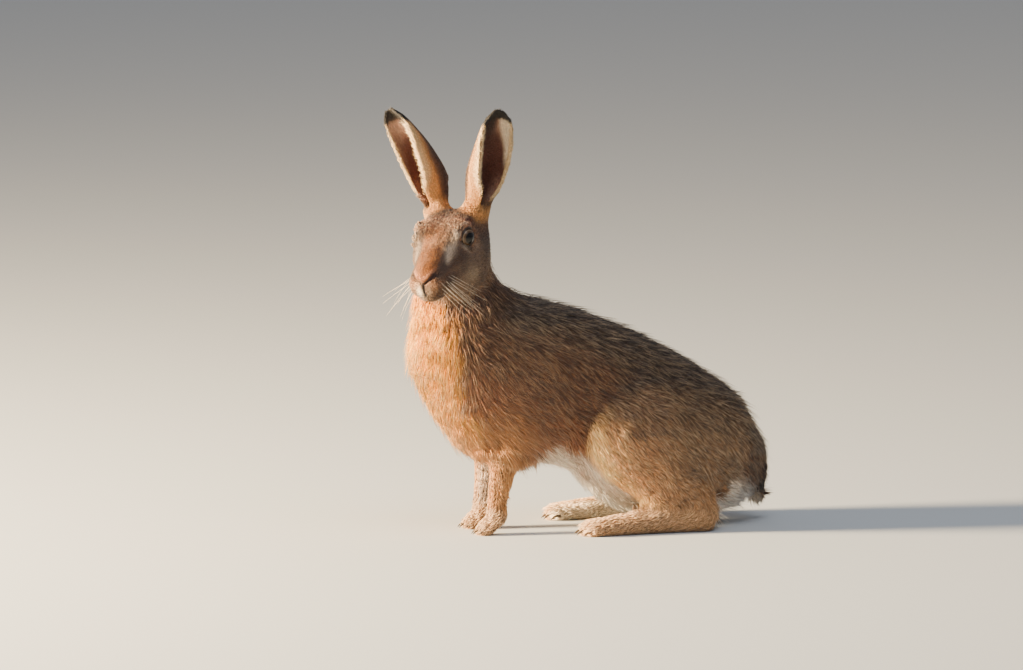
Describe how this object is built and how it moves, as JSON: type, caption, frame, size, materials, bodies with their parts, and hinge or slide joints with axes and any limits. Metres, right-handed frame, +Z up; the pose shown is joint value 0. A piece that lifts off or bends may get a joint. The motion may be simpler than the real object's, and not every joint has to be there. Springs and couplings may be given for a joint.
{
  "type": "life-size brown hare model",
  "caption": "Still, life-size model of a brown hare sitting up alert on its feet, ears raised and head turned to its left.",
  "frame": {"origin": "on the floor, under the middle of the model's box", "axes": "+X towards the tail, -X the way the body faces, -Y the hare's left side, +Z up; the feet rest on Z = 0"},
  "size_m": [0.3938, 0.1664, 0.4312],
  "materials": {
    "body_fur": "long grizzled brown and black fur, ochre tips, rusty chest and white belly",
    "neck_fur": "thick rusty fur, darker on the nape",
    "face_fur": "short grizzled brown fur, ochre on the bridge of the nose, pale round the eye",
    "ear_fur": "very short fur, ochre and brown with a black tip and a white fringe",
    "leg_fur": "medium long grey brown and rusty fur",
    "foot_fur": "short dense buff fur",
    "tail_fur": "fur, black above and white beneath",
    "skin": "dense underfur over the skin",
    "eye": "wet, amber brown iris round a large black pupil",
    "nose": "soft, bare and slightly moist",
    "claw": "dark horn, worn satin",
    "whisker": "stiff pale hair"
  },
  "bodies": {
    "root": {"trunk": "body_fur", "neck": "neck_fur", "head": "face_fur", "ear_left": "ear_fur", "ear_right": "ear_fur", "eye_left": "eye", "eye_right": "eye", "tail": "tail_fur", "thigh_left": "leg_fur", "thigh_right": "leg_fur", "shank_left": "leg_fur", "shank_right": "leg_fur", "hind_foot_left": "foot_fur", "hind_foot_right": "foot_fur", "foreleg_left": "leg_fur", "foreleg_right": "leg_fur", "forepaw_left": "foot_fur", "forepaw_right": "foot_fur"}
  },
  "joints": []
}
